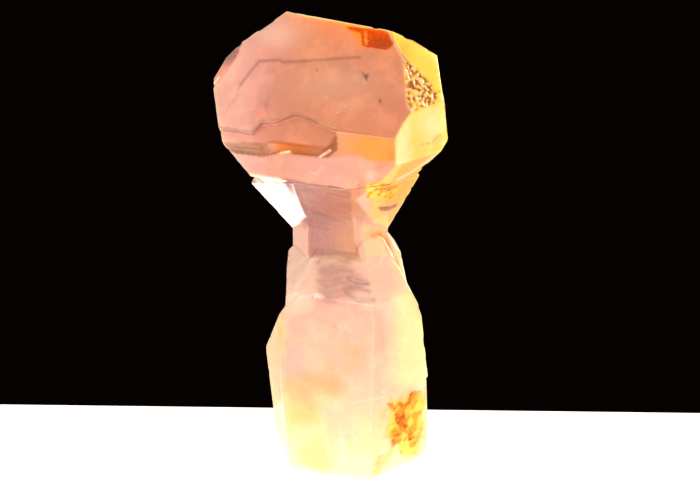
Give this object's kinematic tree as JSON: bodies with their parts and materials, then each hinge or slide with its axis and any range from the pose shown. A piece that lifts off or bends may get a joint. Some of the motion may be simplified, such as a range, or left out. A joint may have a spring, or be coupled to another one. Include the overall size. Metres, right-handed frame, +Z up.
{
  "type": "amethyst sceptre crystal",
  "caption": "Amethyst sceptre crystal: a wide, chisel-topped head on a slim hexagonal quartz stem, cut flat at its foot to stand upright.",
  "frame": {"origin": "on the flat foot, under the middle of the crystal's bounding box", "axes": "+Z up along the crystal's long axis, -Y to the side with the growth plates, +X to its right as seen from there"},
  "size_m": [0.0238, 0.0191, 0.0488],
  "materials": {
    "amethyst": "naturally glossy crystal faces, translucent pink to peach, with orange and yellow iron stains"
  },
  "bodies": {
    "root": {"sceptre_crystal": "amethyst"}
  },
  "joints": []
}
